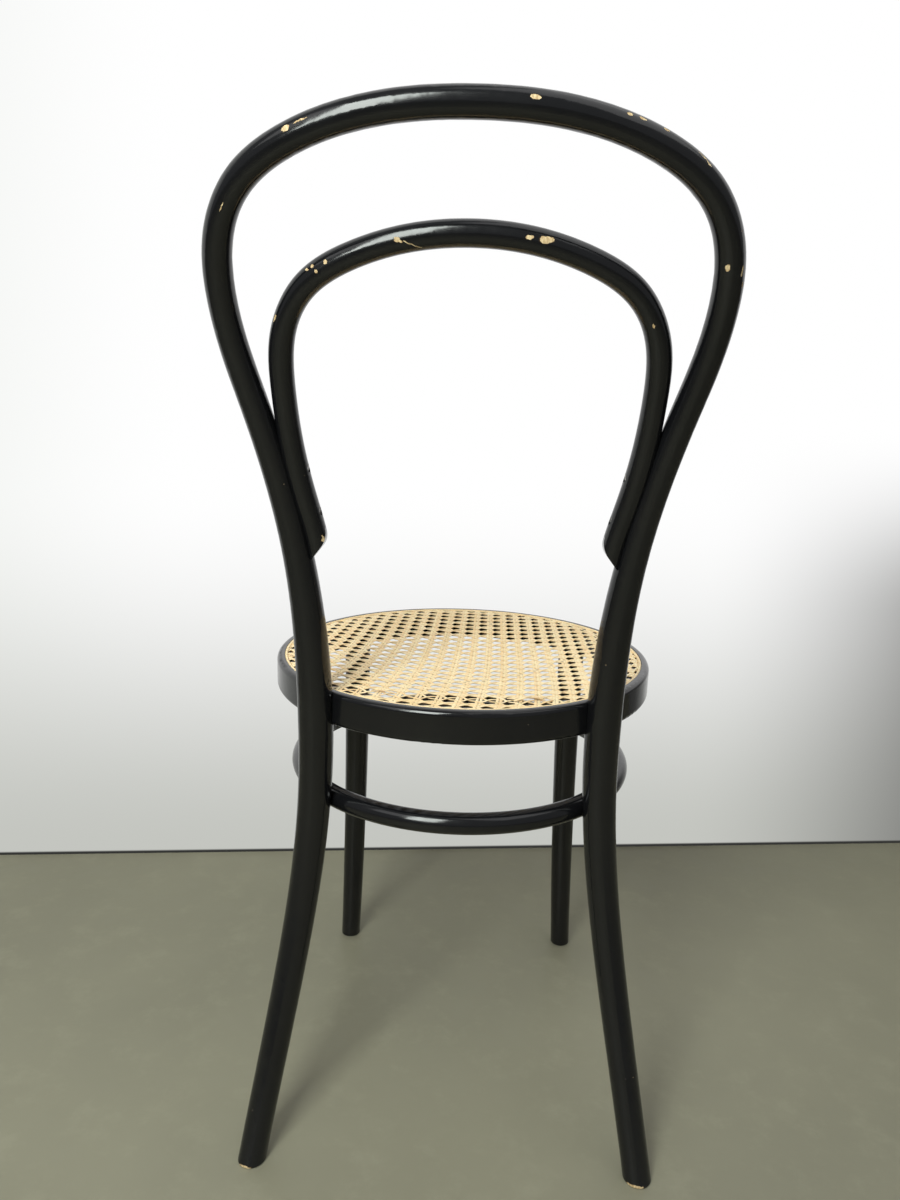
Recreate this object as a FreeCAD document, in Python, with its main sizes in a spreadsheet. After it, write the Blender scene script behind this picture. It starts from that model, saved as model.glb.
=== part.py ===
import FreeCAD, Part
import math
import os

import Sketcher
from FreeCAD import Placement, Rotation, Vector

# Bentwood bistro chair with a caned seat, in millimetres.
# +Z is up and the chair faces -Y. The origin is on the floor, below the middle of the chair.
# Two bent rods make the back: one runs from foot to foot over the top, the other is a smaller
# hoop inside it. The seat is a bent ring with a woven cane sheet held in a groove by a spline.

SIZES = {
    # Seat ring
    "seat_diameter": 406.0,
    "seat_height": 458.0,
    "seat_ring_width": 24.0,
    "seat_ring_depth": 33.0,
    "seat_top_round": 5.0,
    "seat_bottom_round": 5.0,
    "seat_inner_round": 3.0,
    "lip_width": 8.0,
    "ledge_drop": 2.0,
    "groove_width": 4.5,
    "groove_depth": 9.0,
    # Cane sheet and the spline that holds it
    "cane_thickness": 1.4,
    "cane_pitch": 17.2,
    "cane_gap": 11.6,
    "cane_gap_corner": 4.7,
    "cane_gap_margin": 5.0,
    "cane_skirt_thickness": 1.0,
    "cane_skirt_depth": 6.5,
    "spline_depth": 7.0,
    "spline_round": 1.2,
    # Back frame: half the distance between the two sides, and how far behind the seat joint
    "foot_half_spacing": 187.9,
    "foot_setback": 74.3,
    "calf_height": 150.0,
    "calf_half_spacing": 163.6,
    "calf_setback": 23.6,
    "knee_half_spacing": 139.8,
    "knee_setback": -7.5,
    "joint_half_spacing": 136.8,
    "waist_rise": 134.0,
    "waist_half_spacing": 147.6,
    "waist_setback": 21.5,
    "flare_rise": 262.0,
    "flare_half_spacing": 174.3,
    "flare_setback": 58.0,
    "widest_rise": 347.0,
    "widest_half_spacing": 191.4,
    "widest_setback": 92.7,
    "shoulder_rise": 411.0,
    "shoulder_half_spacing": 177.0,
    "shoulder_setback": 125.1,
    "corner_rise": 453.0,
    "corner_half_spacing": 113.0,
    "corner_setback": 150.4,
    "crown_rise": 469.5,
    "crown_setback": 159.2,
    # Back frame: rod diameter at each of those places
    "foot_diameter": 27.0,
    "calf_diameter": 28.8,
    "knee_diameter": 32.4,
    "joint_diameter": 33.6,
    "waist_diameter": 27.6,
    "flare_diameter": 24.2,
    "widest_diameter": 22.8,
    "shoulder_diameter": 22.2,
    "corner_diameter": 21.8,
    "crown_diameter": 21.7,
    # Joint between the rear legs and the seat ring
    "housing_depth": 2.0,
    "leg_notch_depth": 7.0,
    # Inner back hoop
    "inner_tip_rise": 151.0,
    "inner_bond_rise": 225.0,
    "inner_side_rise": 276.0,
    "inner_side_half_spacing": 150.4,
    "inner_shoulder_rise": 345.0,
    "inner_shoulder_half_spacing": 136.5,
    "inner_corner_rise": 381.0,
    "inner_corner_half_spacing": 80.5,
    "inner_crown_rise": 394.0,
    "inner_tip_diameter": 20.8,
    "inner_crown_diameter": 20.2,
    "inner_bed_depth": 4.3,
    "inner_bevel_angle": 38.0,
    "inner_tip_lean": 13.0,
    "inner_tip_round": 20.0,
    # Front legs
    "front_top_half_spacing": 134.7,
    "front_middle_height": 212.0,
    "front_middle_out": 2.2,
    "front_middle_forward": 5.5,
    "front_foot_out": 10.2,
    "front_foot_forward": 23.0,
    "front_top_diameter": 31.4,
    "front_middle_diameter": 28.0,
    "front_foot_diameter": 24.6,
    "tenon_diameter": 17.0,
    "tenon_length": 18.0,
    "foot_round": 1.5,
    # Leg ring
    "leg_ring_height": 340.8,
    "leg_ring_rod": 21.0,
    "leg_ring_bed": 2.5,
    # Fasteners
    "bolt_diameter": 8.0,
    "bolt_length": 34.0,
    "bolt_head_width": 13.0,
    "bolt_head_height": 5.3,
    "washer_diameter": 17.0,
    "washer_thickness": 1.6,
    "spot_face_depth": 2.0,
    "insert_diameter": 12.0,
    "insert_length": 15.0,
    "screw_diameter": 4.0,
    "screw_head_diameter": 7.0,
    "screw_head_depth": 2.2,
    "screw_point_length": 5.0,
    "screw_sink": 0.6,
    "screw_slot_width": 1.1,
    "screw_slot_depth": 0.9,
    "ring_screw_length": 36.0,
    "hoop_screw_length": 30.0,
    "lower_hoop_screw_rise": 176.0,
    "upper_hoop_screw_rise": 214.0,
    # Clearances
    "bed_clearance": 0.3,
    "fit_clearance": 0.15,
    # Spacing of the sections that shape a rod, and how far cutting blocks run past the wood
    "section_spacing": 46.0,
    "reach": 60.0,
    "overlap": 5.0,
    "start_gap": 1.0,
}

# Sizes that follow from the ones above; the seat ring's heights count from its underside
DERIVED = {
    "seat_radius": "=seat_diameter / 2",
    "ring_inside": "=seat_radius - seat_ring_width",
    "groove_outside": "=seat_radius - lip_width",
    "groove_inside": "=groove_outside - groove_width",
    "ledge_height": "=seat_ring_depth - ledge_drop",
    "groove_floor": "=seat_ring_depth - groove_depth",
    "spline_outside": "=groove_outside - fit_clearance",
    "spline_inside": "=groove_inside + 2 * fit_clearance + cane_skirt_thickness",
}

doc = FreeCAD.newDocument("bentwood_chair")
sheet = doc.addObject("Spreadsheet::Sheet", "Sizes")
for row, (alias, entry) in enumerate((SIZES | DERIVED).items(), start=1):
    sheet.set(f"A{row}", alias)
    sheet.set(f"B{row}", str(entry))
    sheet.setAlias(f"B{row}", alias)
doc.recompute()


def size(alias):
    return float(sheet.get(alias))


nodes = {}


def keep(part, name):
    """Give a finished piece its own name and put it on the list of pieces."""
    part.Label = name
    nodes[name] = part
    return part


def solid_feature(name, shape, placement=None):
    """A plain feature that holds a shape made by the functions below."""
    feature = doc.addObject("Part::Feature", name)
    feature.Shape = shape
    if placement is not None:
        feature.Placement = placement
    return feature


def bound(part, **formulas):
    """Tie properties of a part to the size sheet."""
    for prop, formula in formulas.items():
        part.setExpression(prop, formula)
    return part


def cylinder(name, radius, height, placement):
    part = doc.addObject("Part::Cylinder", name)
    bound(part, Radius=radius, Height=height)
    part.Placement = placement
    return part


def block(name, length, width, height, placement):
    part = doc.addObject("Part::Box", name)
    bound(part, Length=length, Width=width, Height=height)
    part.Placement = placement
    return part


def joined(name, parts):
    tool = doc.addObject("Part::MultiFuse", name)
    tool.Shapes = parts
    return tool


def shared(name, first, second):
    part = doc.addObject("Part::Common", name)
    part.Base = first
    part.Tool = second
    return part


def cut(name, base, tool):
    part = doc.addObject("Part::Cut", name)
    part.Base = base
    part.Tool = tool
    return part


# Places shared by several pieces
reach = size("reach")
seat_radius = size("seat_radius")
ring_inside = size("ring_inside")
ring_bottom = size("seat_height") - size("seat_ring_depth")
ring_middle = seat_radius - size("seat_ring_width") / 2
joint_height = size("seat_height") - size("seat_ring_depth") / 2
joint_plane = seat_radius - size("housing_depth")
joint_radius = joint_plane + size("joint_diameter") / 2 - size("leg_notch_depth")
joint_setback = math.sqrt(joint_radius ** 2 - size("joint_half_spacing") ** 2)

# The origin lies half-way between the front of the seat ring and the back of the crown
back_reach = joint_setback + size("crown_setback") + size("crown_diameter") / 2
seat_y = (seat_radius - back_reach) / 2
seat_axis = Vector(0, seat_y, 0)


# Rods
HALVINGS = 50


def smooth_line(points):
    """A cubic line through the points, with its parameter growing by chord length."""
    marks = [0.0]
    for start, end in zip(points, points[1:]):
        marks.append(marks[-1] + start.distanceToPoint(end))
    line = Part.BSplineCurve()
    line.interpolate(Points=points, Parameters=marks)
    return line, marks


class Rod:
    """A round rod bent along a smooth line, with its own diameter at each station.

    `rising` is the share of its length, from the start, over which it only climbs.
    """

    def __init__(self, stations, rising=0.5):
        self.rising = rising
        self.line, self.marks = smooth_line([point for point, _ in stations])
        widths = [Vector(mark, diameter, 0) for mark, (_, diameter) in zip(self.marks, stations)]
        self.widths = Part.BSplineCurve()
        self.widths.interpolate(Points=widths, Parameters=self.marks)

    def point(self, mark):
        return self.line.value(mark)

    def direction(self, mark):
        return Vector(*self.line.tangent(mark)[0]).normalize()

    def radius(self, mark):
        return self.widths.value(mark).y / 2

    def mark_at_height(self, height):
        """Where the rising part of the rod passes a height."""
        low = self.marks[0]
        high = low + (self.marks[-1] - low) * self.rising
        for _ in range(HALVINGS):
            middle = (low + high) / 2
            if self.point(middle).z < height:
                low = middle
            else:
                high = middle
        return low

    def solid(self, grow=0.0):
        """The rod as a solid, run on straight past both ends by one section step."""
        count = 2 * math.ceil(self.marks[-1] / size("section_spacing") / 2)
        step = self.marks[-1] / count
        marks = [step * k for k in range(count + 1)]
        spots = [(self.point(m), self.direction(m), self.radius(m) + grow) for m in marks]
        centre, along, radius = spots[0]
        spots.insert(0, (centre - along * step, along, radius))
        centre, along, radius = spots[-1]
        spots.append((centre + along * step, along, radius))
        sections = []
        side = Vector(0, 1, 0)
        for centre, along, radius in spots:
            side = (side - along * side.dot(along)).normalize()
            ring = Part.Wire(Part.makeCircle(radius))
            ring.Placement = Placement(centre, Rotation(side, along.cross(side), along, "ZXY"))
            sections.append(ring)
        return Part.makeLoft(sections, True, False)


def mirrored(stations):
    """Stations of one side followed by the same stations on the other side."""
    other = [(Vector(-point.x, point.y, point.z), diameter) for point, diameter in stations]
    return stations + other[::-1]


def back_point(half_spacing, setback, height):
    return Vector(half_spacing, seat_y + joint_setback + setback, height)


def back_station(name, height):
    point = back_point(size(name + "_half_spacing"), size(name + "_setback"), height)
    return point, size(name + "_diameter")


def back_frame_rod():
    seat = size("seat_height")
    side = [
        back_station("foot", 0.0),
        back_station("calf", size("calf_height")),
        back_station("knee", size("leg_ring_height")),
        (back_point(size("joint_half_spacing"), 0.0, joint_height), size("joint_diameter")),
        back_station("waist", seat + size("waist_rise")),
        back_station("flare", seat + size("flare_rise")),
        back_station("widest", seat + size("widest_rise")),
        back_station("shoulder", seat + size("shoulder_rise")),
        back_station("corner", seat + size("corner_rise")),
    ]
    crown = back_point(0.0, size("crown_setback"), seat + size("crown_rise"))
    other = mirrored(side)[len(side):]
    return Rod(side + [(crown, size("crown_diameter"))] + other)


back_rod = back_frame_rod()


def in_back_surface(half_spacing, height):
    """A point of the bent surface that both back hoops lie in."""
    return Vector(half_spacing, back_rod.point(back_rod.mark_at_height(height)).y, height)


def bonded_point(height, diameter):
    """Centre of the inner hoop where it lies bedded against the outer one."""
    mark = back_rod.mark_at_height(height)
    outer = back_rod.point(mark)
    along = back_rod.direction(mark)
    gap = back_rod.radius(mark) + diameter / 2 - size("inner_bed_depth")
    return Vector(outer.x - gap / math.hypot(along.y, along.z), outer.y, outer.z)


def inner_hoop_rod():
    seat = size("seat_height")
    tip = size("inner_tip_diameter")
    crown = size("inner_crown_diameter")
    side = [
        (bonded_point(seat + size("inner_tip_rise"), tip), tip),
        (bonded_point(seat + size("inner_bond_rise"), tip), tip),
    ]
    for name in ("side", "shoulder", "corner"):
        height = seat + size(f"inner_{name}_rise")
        side.append((in_back_surface(size(f"inner_{name}_half_spacing"), height), crown))
    top = in_back_surface(0.0, seat + size("inner_crown_rise"))
    return Rod(side + [(top, crown)] + mirrored(side)[len(side):])


inner_rod = inner_hoop_rod()


def front_leg_stations():
    half = size("front_top_half_spacing")
    top = Vector(half, seat_y - math.sqrt(ring_middle ** 2 - half ** 2), ring_bottom)
    middle = top + Vector(size("front_middle_out"), -size("front_middle_forward"), 0)
    middle.z = size("front_middle_height")
    foot = top + Vector(size("front_foot_out"), -size("front_foot_forward"), 0)
    foot.z = 0.0
    return [
        (foot, size("front_foot_diameter")),
        (middle, size("front_middle_diameter")),
        (top, size("front_top_diameter")),
    ]


front_rod = Rod(front_leg_stations(), rising=1.0)


def leg_ring_place():
    """Radius and centre of the circle that lies bedded against all four legs."""
    level = size("leg_ring_height")
    spots = []
    for rod in (back_rod, front_rod):
        mark = rod.mark_at_height(level)
        spots.append((rod.point(mark), rod.radius(mark)))
    (rear, rear_radius), (front, front_radius) = spots
    low, high = front.y, rear.y
    for _ in range(HALVINGS):
        centre = (low + high) / 2
        to_rear = math.hypot(rear.x, rear.y - centre) - rear_radius
        to_front = math.hypot(front.x, front.y - centre) - front_radius
        if to_rear > to_front:
            low = centre
        else:
            high = centre
    return to_rear - size("leg_ring_rod") / 2 + size("leg_ring_bed"), centre


leg_ring_radius, leg_ring_y = leg_ring_place()


# Sketches for the turned and revolved pieces
TOUCHING = 1e-3


def origin_plane(body, role):
    return next(plane for plane in body.Origin.OriginFeatures if plane.Role == role)


def outline_sketch(body, name, corners):
    """A closed outline on the XZ plane. Each corner is a pair of aliases, or None for zero."""
    sketch = body.newObject("Sketcher::SketchObject", name)
    sketch.AttachmentSupport = (origin_plane(body, "XZ_Plane"), [""])
    sketch.MapMode = "FlatFace"
    count = len(corners)
    spots = []
    for across, up in corners:
        spots.append(Vector(size(across), size(up) if up else 0.0, 0))
    for k in range(count):
        sketch.addGeometry(Part.LineSegment(spots[k], spots[(k + 1) % count]), False)
    for k in range(count):
        sketch.addConstraint(Sketcher.Constraint("Coincident", k, 2, (k + 1) % count, 1))
    for k, (across, up) in enumerate(corners):
        for kind, alias, distance in (("DistanceX", across, spots[k].x), ("DistanceY", up, spots[k].y)):
            index = sketch.addConstraint(Sketcher.Constraint(kind, -1, 1, k, 1, distance))
            sketch.renameConstraint(index, f"{kind}{k}")
            if alias:
                sketch.setExpression(f"Constraints.{kind}{k}", f"Sizes.{alias}")
    return sketch


def revolved(name, corners, placement):
    """A body turned about its own Z axis from an outline."""
    body = doc.addObject("PartDesign::Body", name)
    sketch = outline_sketch(body, name + "_outline", corners)
    turn = body.newObject("PartDesign::Revolution", name + "_turn")
    turn.Profile = sketch
    turn.ReferenceAxis = (sketch, ["V_Axis"])
    turn.Angle = 360
    body.Placement = placement
    doc.recompute()
    return body


def edges_at(shape, radius, height):
    """Names of the round edges with a given radius and height."""
    names = []
    for index, edge in enumerate(shape.Edges, start=1):
        curve = edge.Curve
        if not isinstance(curve, Part.Circle):
            continue
        if abs(curve.Radius - radius) < TOUCHING and abs(curve.Center.z - height) < TOUCHING:
            names.append(f"Edge{index}")
    return names


def rounded(body, name, across, up, alias):
    """Round one circular edge of a revolved body."""
    base = body.Tip
    names = edges_at(base.Shape, size(across), size(up) if up else 0.0)
    if not names:
        raise RuntimeError(f"no edge to round for {name}")
    fillet = body.newObject("PartDesign::Fillet", name)
    fillet.Base = (base, names)
    fillet.setExpression("Radius", f"Sizes.{alias}")
    doc.recompute()
    return fillet


def seat_ring_blank():
    body = revolved("seat_ring_blank", [
        ("ring_inside", None),
        ("seat_radius", None),
        ("seat_radius", "seat_ring_depth"),
        ("groove_outside", "seat_ring_depth"),
        ("groove_outside", "groove_floor"),
        ("groove_inside", "groove_floor"),
        ("groove_inside", "ledge_height"),
        ("ring_inside", "ledge_height"),
    ], Placement(Vector(0, seat_y, ring_bottom), Rotation()))
    rounded(body, "seat_top_edge", "seat_radius", "seat_ring_depth", "seat_top_round")
    rounded(body, "seat_bottom_edge", "seat_radius", None, "seat_bottom_round")
    rounded(body, "seat_inner_edge", "ring_inside", None, "seat_inner_round")
    return body


SIDES = {"left": 1, "right": -1}


def along_axis(origin, axis):
    """Placement that stands a part's own Z axis on a point, along a direction."""
    return Placement(origin, Rotation(Vector(0, 0, 1), axis))


def joint_direction(hand):
    """Level direction from the seat's middle to a rear leg."""
    out = Vector(hand * size("joint_half_spacing"), joint_setback, 0)
    return out.normalize()


def joint_frame(hand, distance):
    """Placement on the joint's line, with its own X axis pointing out of the seat."""
    out = joint_direction(hand)
    up = Vector(0, 0, 1)
    origin = seat_axis + out * distance
    origin.z = joint_height
    return Placement(origin, Rotation(out, up.cross(out), up, "ZXY"))


def joint_housing(hand, tag):
    """The flat bed that the seat ring gives a rear leg, no wider than the leg itself."""
    place = joint_frame(hand, joint_plane).multiply(
        Placement(Vector(0, -reach, -reach), Rotation()))
    outer = block(f"housing_block_{tag}", "Sizes.reach", "2 * Sizes.reach", "2 * Sizes.reach", place)
    mark = back_rod.mark_at_height(joint_height)
    along = back_rod.direction(mark)
    along.x *= hand
    middle = back_rod.point(mark)
    middle.x *= hand
    leg = cylinder(f"leg_room_{tag}", "Sizes.joint_diameter / 2 + Sizes.bed_clearance",
                   "2 * Sizes.reach", along_axis(middle - along * reach, along))
    return shared(f"housing_{tag}", outer, leg)


def leg_notch(hand, tag):
    """The notch that lets a rear leg over the seat ring, with its flat on the housing."""
    clearance = size("fit_clearance")
    half_height = size("seat_ring_depth") / 2 + clearance
    place = joint_frame(hand, joint_plane).multiply(
        Placement(Vector(-reach, -reach, -half_height), Rotation()))
    return block(f"leg_notch_{tag}", "Sizes.reach", "2 * Sizes.reach",
                 "Sizes.seat_ring_depth + 2 * Sizes.fit_clearance", place)


def bolt_start():
    """Distance from the seat's middle to the washer's face on the seat ring."""
    return ring_inside + size("spot_face_depth")


def bolt_holes_in_ring(hand, tag):
    out = joint_direction(hand)
    start = joint_frame(hand, ring_inside - reach).Base
    through = cylinder(f"bolt_hole_{tag}", "Sizes.bolt_diameter / 2 + Sizes.fit_clearance",
                       "2 * Sizes.reach", along_axis(start, out))
    face = joint_frame(hand, bolt_start() - reach).Base
    spot = cylinder(f"spot_face_{tag}", "Sizes.washer_diameter / 2 + Sizes.bed_clearance",
                    "Sizes.reach", along_axis(face, out))
    return [through, spot]


def insert_hole(hand, tag):
    start = joint_frame(hand, joint_plane - size("start_gap")).Base
    return cylinder(f"insert_hole_{tag}", "Sizes.insert_diameter / 2 + Sizes.fit_clearance",
                    "Sizes.insert_length + Sizes.start_gap + Sizes.bed_clearance",
                    along_axis(start, joint_direction(hand)))


def front_leg_top(hand):
    point = front_leg_stations()[-1][0]
    return Vector(hand * point.x, point.y, point.z)


def mortise(hand, tag):
    start = front_leg_top(hand) - Vector(0, 0, size("start_gap"))
    return cylinder(f"mortise_{tag}", "Sizes.tenon_diameter / 2 + Sizes.fit_clearance",
                    "Sizes.tenon_length + Sizes.bed_clearance + Sizes.start_gap",
                    Placement(start, Rotation()))


def make_seat_ring():
    tools = []
    for tag, hand in SIDES.items():
        tools.append(joint_housing(hand, tag))
        tools += bolt_holes_in_ring(hand, tag)
        tools.append(mortise(hand, tag))
    shape = cut("seat_ring_shape", seat_ring_blank(), joined("seat_ring_cuts", tools))
    return keep(shape, "seat_ring")


# Screws: a countersunk head with a slot, a plain shank and a point
def screw_profile(length, grow):
    """Half outline of a screw from its point up to its head, grown by a clearance."""
    shank = size("screw_diameter") / 2 + grow
    head = size("screw_head_diameter") / 2 + grow
    point_end = -length - grow
    return [
        Vector(0, 0, point_end),
        Vector(shank, 0, -length + size("screw_point_length")),
        Vector(shank, 0, -size("screw_head_depth")),
        Vector(head, 0, 0),
        Vector(0, 0, 0),
    ]


def screw_solid(length, grow=0.0):
    profile = screw_profile(length, grow)
    face = Part.Face(Part.makePolygon(profile + profile[:1]))
    return face.revolve(Vector(0, 0, 0), Vector(0, 0, 1), 360)


def screw_with_slot(length):
    across = size("screw_head_diameter")
    width = size("screw_slot_width")
    depth = size("screw_slot_depth")
    slot = Part.makeBox(2 * across, width, 2 * depth, Vector(-across, -width / 2, -depth))
    return screw_solid(length).cut(slot)


def screw_hole(length, placement):
    """Room for a screw: its own shape with clearance, and a straight way out over its head."""
    clearance = size("fit_clearance")
    mouth = Part.makeCylinder(size("screw_head_diameter") / 2 + clearance, reach / 2)
    hole = screw_solid(length, clearance).fuse(mouth)
    hole.Placement = placement
    return hole


def placed(shape, placement):
    copy = shape.copy()
    copy.Placement = placement
    return copy


def ring_screw_places():
    """Heads on the inside of the leg ring, one at each leg, pointing at the leg's middle."""
    places = []
    for rod in (back_rod, front_rod):
        leg = rod.point(rod.mark_at_height(size("leg_ring_height")))
        for hand in SIDES.values():
            out = Vector(hand * leg.x, leg.y - leg_ring_y, 0).normalize()
            head = Vector(0, leg_ring_y, size("leg_ring_height"))
            head += out * (leg_ring_radius - size("leg_ring_rod") / 2 + size("screw_sink"))
            places.append(along_axis(head, out * -1))
    return places


def hoop_screw_places():
    """Heads on the inside of the inner hoop, pointing at the middle of the outer one."""
    places = []
    for name in ("lower", "upper"):
        height = size("seat_height") + size(f"{name}_hoop_screw_rise")
        inner_mark = inner_rod.mark_at_height(height)
        outer_mark = back_rod.mark_at_height(height)
        inner = inner_rod.point(inner_mark)
        out = (back_rod.point(outer_mark) - inner).normalize()
        head = inner - out * (inner_rod.radius(inner_mark) - size("screw_sink"))
        for hand in SIDES.values():
            start = Vector(hand * head.x, head.y, head.z)
            aim = Vector(hand * out.x, out.y, out.z)
            places.append(along_axis(start, aim * -1))
    return places


ring_screws = ring_screw_places()
hoop_screws = hoop_screw_places()


def holes_for(name, length, places):
    return solid_feature(name, Part.makeCompound([screw_hole(length, place) for place in places]))


# Back frame
def floor_cut(name):
    """Block below the floor that trims the feet flat."""
    corner = Vector(-2 * seat_radius, seat_y - 2 * seat_radius, -reach)
    wide = "2 * Sizes.seat_diameter"
    return block(name, wide, wide, "Sizes.reach", Placement(corner, Rotation()))


def leg_ring_rod(name, radius):
    """The leg ring's round rod, with a given radius of its own."""
    part = doc.addObject("Part::Torus", name)
    part.Radius1 = leg_ring_radius
    bound(part, Radius2=radius)
    part.Placement.Base = Vector(0, leg_ring_y, size("leg_ring_height"))
    return part


def leg_ring_bed(name):
    """The leg ring with clearance, which hollows its bed out of each leg."""
    return leg_ring_rod(name, "Sizes.leg_ring_rod / 2 + Sizes.bed_clearance")


def round_feet(name, base):
    """Round the rim of each foot where it stands on the floor."""
    doc.recompute()
    fillet = doc.addObject("Part::Fillet", name)
    fillet.Base = base
    radius = size("foot_round")
    rims = []
    for index, edge in enumerate(base.Shape.Edges, start=1):
        if edge.BoundBox.ZMax < TOUCHING and edge.BoundBox.ZMin > -TOUCHING:
            rims.append((index, radius, radius))
    fillet.Edges = rims
    return fillet


def make_back_frame():
    rod = solid_feature("back_rod", back_rod.solid())
    tools = [floor_cut("floor_below_back"), leg_ring_bed("leg_ring_bed_back")]
    for tag, hand in SIDES.items():
        tools.append(leg_notch(hand, tag))
        tools.append(insert_hole(hand, tag))
    tools.append(holes_for("ring_screw_holes_back", size("ring_screw_length"), ring_screws))
    tools.append(holes_for("hoop_screw_holes_back", size("hoop_screw_length"), hoop_screws))
    shaped = cut("back_frame_cut", rod, joined("back_frame_tools", tools))
    return keep(round_feet("back_frame_shape", shaped), "back_frame")


def hoop_end_block(name, middle, along, away):
    """Block with one face through a point of the hoop's end, running along a direction."""
    turn = Rotation(along, away.cross(along), away, "ZXY")
    corner = Placement(middle, turn).multiply(Placement(Vector(-reach, -reach, 0), Rotation()))
    return block(name, "2 * Sizes.reach", "2 * Sizes.reach", "Sizes.reach", corner)


def level_turn(hand, angle):
    """Direction in the chair's X-Z plane, `angle` degrees from straight down towards the outside."""
    turned = math.radians(angle)
    return Vector(hand * math.sin(turned), 0, -math.cos(turned))


def hoop_end_tools(hand, tag):
    """What shapes one lower end of the inner hoop: a bevel, and a round where the bevel starts."""
    mark = inner_rod.marks[0]
    tip = inner_rod.point(mark)
    inner_edge = Vector(hand * (tip.x - inner_rod.radius(mark)), tip.y, tip.z)
    bevel = size("inner_bevel_angle")
    lean = size("inner_tip_lean")
    turning = math.radians(bevel + lean) / 2
    radius = size("inner_tip_round")
    bevel_away = level_turn(hand, bevel - 90)
    bevelled = hoop_end_block(f"bevel_{tag}", inner_edge, level_turn(hand, bevel), bevel_away)
    # The round touches the bevel and the side of the hoop; its chord runs half-way between them
    chord = (bevel - lean) / 2
    chord_away = level_turn(hand, chord - 90)
    depth = radius * math.sin(turning) * math.tan(turning)
    start = inner_edge - chord_away * depth
    corner = hoop_end_block(f"tip_corner_{tag}", start, level_turn(hand, chord), chord_away)
    axis = inner_edge - chord_away * (radius / math.cos(turning))
    turned = cylinder(f"tip_round_{tag}", "Sizes.inner_tip_round", "2 * Sizes.reach",
                      along_axis(axis - Vector(0, reach, 0), Vector(0, 1, 0)))
    return [bevelled, cut(f"tip_corner_cut_{tag}", corner, turned)]


def make_inner_hoop():
    rod = solid_feature("inner_rod", inner_rod.solid())
    saddle = solid_feature("inner_hoop_saddle", back_rod.solid(size("bed_clearance")))
    tools = [saddle, holes_for("hoop_screw_holes_inner", size("hoop_screw_length"), hoop_screws)]
    for tag, hand in SIDES.items():
        tools += hoop_end_tools(hand, tag)
    shape = cut("inner_hoop_shape", rod, joined("inner_hoop_tools", tools))
    return keep(shape, "inner_back_hoop")


# Front legs
def make_front_leg(tag, hand):
    stations = [(Vector(hand * p.x, p.y, p.z), d) for p, d in front_leg_stations()]
    rod = solid_feature(f"front_rod_{tag}", Rod(stations, rising=1.0).solid())
    top = front_leg_top(hand)
    wide = "2 * Sizes.reach"
    above = block(f"above_front_leg_{tag}", wide, wide, wide,
                  Placement(top - Vector(reach, reach, 0), Rotation()))
    holes = holes_for(f"ring_screw_holes_{tag}", size("ring_screw_length"), ring_screws)
    tools = [floor_cut(f"floor_below_{tag}"), leg_ring_bed(f"leg_ring_bed_{tag}"), above, holes]
    shaped = cut(f"front_leg_cut_{tag}", rod, joined(f"front_leg_tools_{tag}", tools))
    tenon = cylinder(f"tenon_{tag}", "Sizes.tenon_diameter / 2", "Sizes.tenon_length + Sizes.overlap",
                     Placement(top - Vector(0, 0, size("overlap")), Rotation()))
    whole = joined(f"front_leg_whole_{tag}", [shaped, tenon])
    return keep(round_feet(f"front_leg_shape_{tag}", whole), f"front_leg_{tag}")


# Leg ring
def make_leg_ring():
    ring = leg_ring_rod("leg_ring_blank", "Sizes.leg_ring_rod / 2")
    holes = holes_for("ring_screw_holes_ring", size("ring_screw_length"), ring_screws)
    return keep(cut("leg_ring_shape", ring, holes), "leg_ring")


# Cane sheet: one holed sheet with its edge turned down into the groove
def cane_gap_outline(x, y):
    """Eight-sided gap: the diagonal canes cross its corners."""
    half = size("cane_gap") / 2
    flat = half - size("cane_gap_corner")
    points = []
    for turn in range(4):
        spin = Rotation(Vector(0, 0, 1), 90 * turn)
        for corner in (Vector(half, flat, 0), Vector(flat, half, 0)):
            points.append(spin.multVec(corner) + Vector(x, y, 0))
    return Part.makePolygon(points + points[:1])


def cane_gaps():
    """Outlines of every gap that lies wholly inside the seat ring."""
    pitch = size("cane_pitch")
    clear = ring_inside - size("cane_gap_margin")
    count = int(clear // pitch)
    gaps = []
    for column in range(-count, count + 1):
        for line in range(-count, count + 1):
            gap = cane_gap_outline(column * pitch, line * pitch)
            if max(math.hypot(corner.X, corner.Y) for corner in gap.Vertexes) < clear:
                gaps.append(gap)
    return gaps


def make_cane_seat():
    inside = size("groove_inside") + size("fit_clearance")
    outside = inside + size("cane_skirt_thickness")
    rim = Part.Wire(Part.makeCircle(outside))
    flat = Part.makeFace(Part.makeCompound([rim] + cane_gaps()), "Part::FaceMakerBullseye")
    net = flat.extrude(Vector(0, 0, size("cane_thickness")))
    depth = size("cane_skirt_depth")
    below = Vector(0, 0, -depth)
    skirt = Part.makeCylinder(outside, depth, below).cut(Part.makeCylinder(inside, depth, below))
    shape = net.fuse(skirt).removeSplitter()
    ledge = Vector(0, seat_y, size("seat_height") - size("ledge_drop"))
    return keep(solid_feature("cane_seat_shape", shape, Placement(ledge, Rotation())), "cane_seat")


def make_cane_spline():
    bottom = Vector(0, seat_y, size("seat_height") - size("spline_depth"))
    body = revolved("spline_body", [
        ("spline_inside", None),
        ("spline_outside", None),
        ("spline_outside", "spline_depth"),
        ("spline_inside", "spline_depth"),
    ], Placement(bottom, Rotation()))
    for edge in ("spline_outside", "spline_inside"):
        rounded(body, f"{edge}_edge", edge, "spline_depth", "spline_round")
    return keep(body, "cane_spline")


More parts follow.
